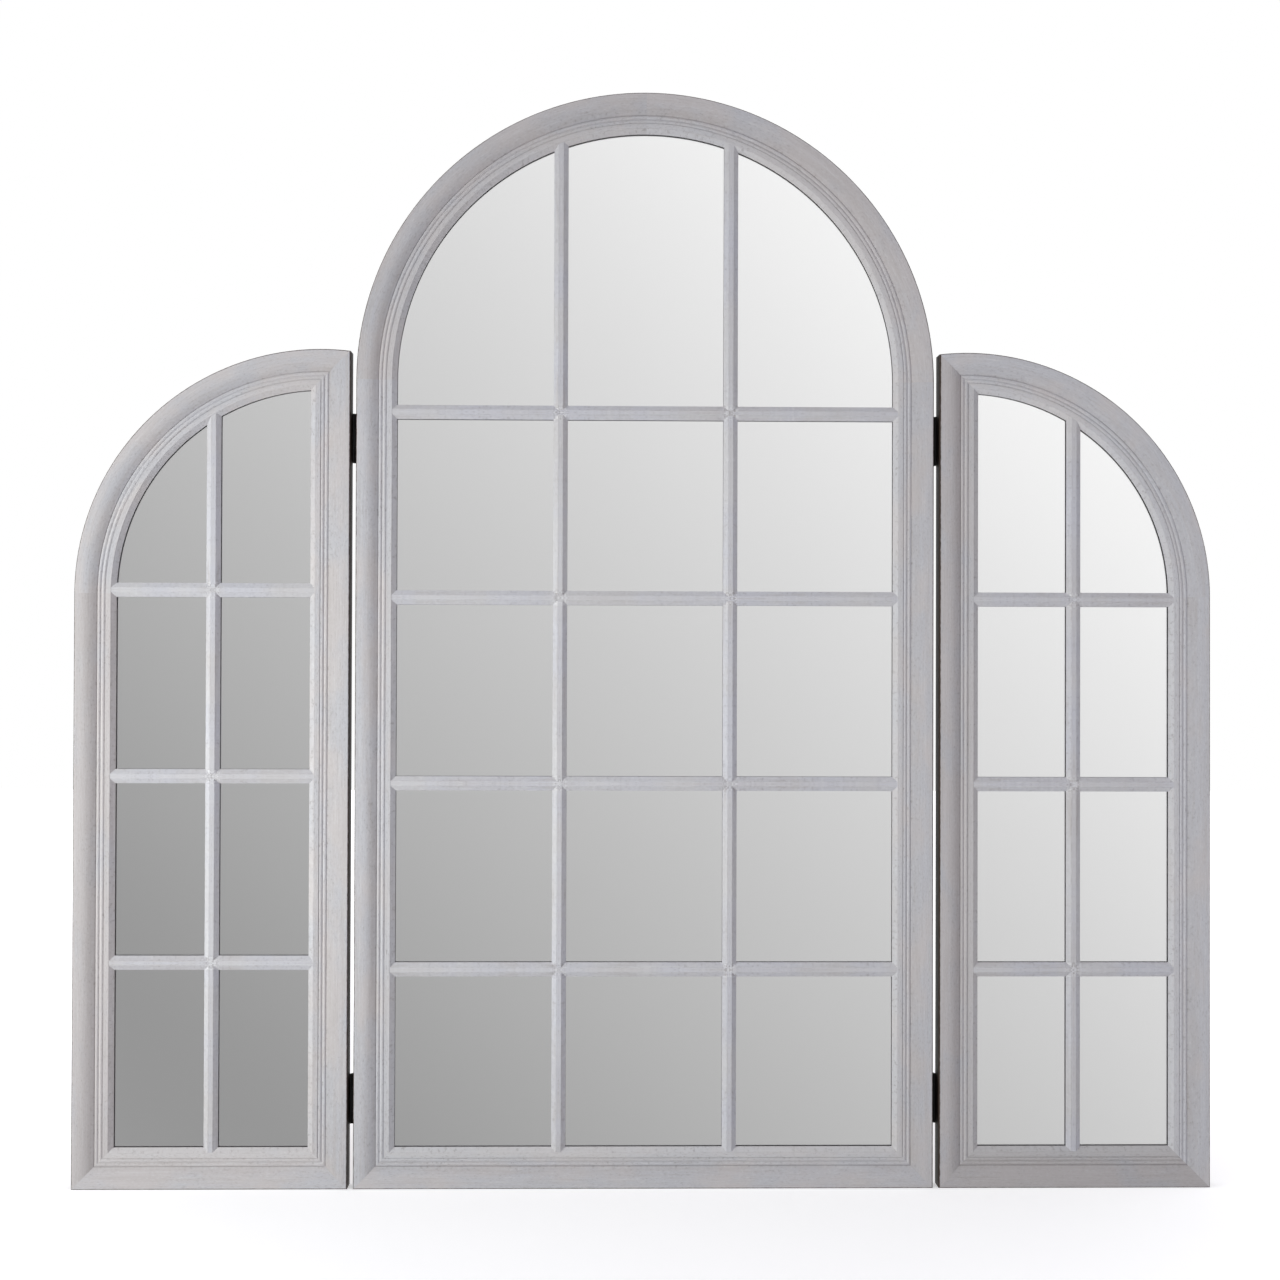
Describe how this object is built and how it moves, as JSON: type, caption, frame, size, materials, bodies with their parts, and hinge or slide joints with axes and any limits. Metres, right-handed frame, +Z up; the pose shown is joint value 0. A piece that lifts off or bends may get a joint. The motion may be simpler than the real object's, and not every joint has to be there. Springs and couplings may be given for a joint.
{
  "type": "triptych mirror",
  "caption": "Arched centre mirror with a hinged quarter-arched wing on each side, set behind bevelled glazing bars in a washed-wood moulding.",
  "frame": {"origin": "middle of the underside of the centre panel's bottom rail, half way through its depth", "axes": "+X to the viewer's right, +Y towards the wall, +Z up; the mirror faces -Y"},
  "size_m": [1.161, 0.0283, 1.12],
  "materials": {
    "frame_wood": "grey-white wash",
    "bar_wood": "grey-white wash",
    "mirror_glass": "silvered glass",
    "backing_board": "hardboard",
    "dowel_wood": "plain beech",
    "tab_steel": "bright",
    "hanger_steel": "zinc plated",
    "screw_steel": "zinc plated",
    "hinge_metal": "black",
    "hinge_pin_steel": "black"
  },
  "bodies": {
    "centre": {"centre_backing_board": "backing_board", "centre_backing_tabs": "tab_steel", "centre_bottom_rail": "frame_wood", "centre_cross_bar_1": "bar_wood", "centre_cross_bar_2": "bar_wood", "centre_cross_bar_3": "bar_wood", "centre_cross_bar_4": "bar_wood", "centre_frame_dowels": "dowel_wood", "centre_hinge_screws": "screw_steel", "centre_left_arch": "frame_wood", "centre_left_stile": "frame_wood", "centre_left_upright_bar": "bar_wood", "centre_mirror_glass": "mirror_glass", "centre_right_arch": "frame_wood", "centre_right_stile": "frame_wood", "centre_right_upright_bar": "bar_wood", "keyhole_screws": "screw_steel", "left_keyhole_plate": "hanger_steel", "left_lower_hinge_fixed_leaf": "hinge_metal", "left_lower_hinge_pin": "hinge_pin_steel", "left_upper_hinge_fixed_leaf": "hinge_metal", "left_upper_hinge_pin": "hinge_pin_steel", "right_keyhole_plate": "hanger_steel", "right_lower_hinge_fixed_leaf": "hinge_metal", "right_lower_hinge_pin": "hinge_pin_steel", "right_upper_hinge_fixed_leaf": "hinge_metal", "right_upper_hinge_pin": "hinge_pin_steel"},
    "left_wing": {"left_lower_hinge_wing_leaf": "hinge_metal", "left_upper_hinge_wing_leaf": "hinge_metal", "left_wing_arch": "frame_wood", "left_wing_backing_board": "backing_board", "left_wing_backing_tabs": "tab_steel", "left_wing_bottom_rail": "frame_wood", "left_wing_cross_bar_1": "bar_wood", "left_wing_cross_bar_2": "bar_wood", "left_wing_cross_bar_3": "bar_wood", "left_wing_frame_dowels": "dowel_wood", "left_wing_hinge_screws": "screw_steel", "left_wing_inner_stile": "frame_wood", "left_wing_mirror_glass": "mirror_glass", "left_wing_outer_stile": "frame_wood", "left_wing_upright_bar": "bar_wood"},
    "right_wing": {"right_lower_hinge_wing_leaf": "hinge_metal", "right_upper_hinge_wing_leaf": "hinge_metal", "right_wing_arch": "frame_wood", "right_wing_backing_board": "backing_board", "right_wing_backing_tabs": "tab_steel", "right_wing_bottom_rail": "frame_wood", "right_wing_cross_bar_1": "bar_wood", "right_wing_cross_bar_2": "bar_wood", "right_wing_cross_bar_3": "bar_wood", "right_wing_frame_dowels": "dowel_wood", "right_wing_hinge_screws": "screw_steel", "right_wing_inner_stile": "frame_wood", "right_wing_mirror_glass": "mirror_glass", "right_wing_outer_stile": "frame_wood", "right_wing_upright_bar": "bar_wood"}
  },
  "joints": [
    {"name": "left_wing_swing", "type": "hinge", "parent": "centre", "child": "left_wing", "pos_m": [-0.2985, 0.0142, 0], "axis": [0, 0, -1], "range_deg": [-10, 180]},
    {"name": "right_wing_swing", "type": "hinge", "parent": "centre", "child": "right_wing", "pos_m": [0.2985, 0.0142, 0], "axis": [0, 0, 1], "range_deg": [-10, 180]}
  ]
}
